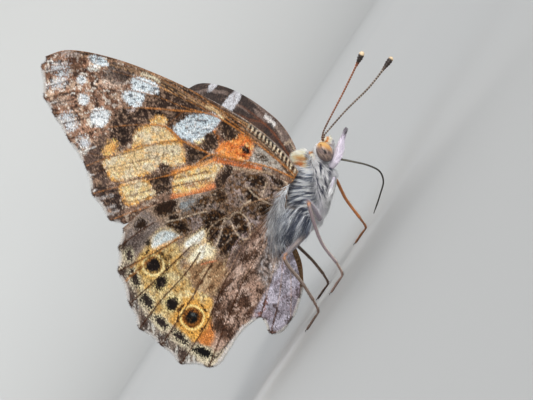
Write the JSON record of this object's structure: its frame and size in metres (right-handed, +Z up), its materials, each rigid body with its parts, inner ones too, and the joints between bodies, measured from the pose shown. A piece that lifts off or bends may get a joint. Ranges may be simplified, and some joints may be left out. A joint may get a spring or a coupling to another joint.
{
  "type": "painted lady butterfly model",
  "caption": "Life-size still model of a painted lady butterfly standing with its patterned wings part open, feelers forward and tongue down.",
  "frame": {"origin": "middle of the bounding box in plan, at the level of the ground under the feet", "axes": "+X forwards along the body to the head, +Y to the butterfly's left, +Z up"},
  "size_m": [0.0406, 0.0366, 0.0394],
  "materials": {
    "wing_scales": "matte",
    "grey_hair": "matte",
    "brown_hair": "matte",
    "pale_hair": "matte",
    "eye": "gloss",
    "leg_cuticle": "satin",
    "dark_cuticle": "satin"
  },
  "bodies": {
    "root": {"head": "grey_hair", "eye_right": "eye", "eye_left": "eye", "palp_right": "pale_hair", "palp_left": "pale_hair", "antenna_right": "dark_cuticle", "antenna_left": "dark_cuticle", "proboscis": "dark_cuticle", "thorax": "grey_hair", "abdomen": "brown_hair", "forewing_right": "wing_scales", "forewing_left": "wing_scales", "hindwing_right": "wing_scales", "hindwing_left": "wing_scales", "foreleg_right": "pale_hair", "foreleg_left": "pale_hair", "midleg_right": "leg_cuticle", "midleg_left": "leg_cuticle", "hindleg_right": "leg_cuticle", "hindleg_left": "leg_cuticle"}
  },
  "joints": []
}
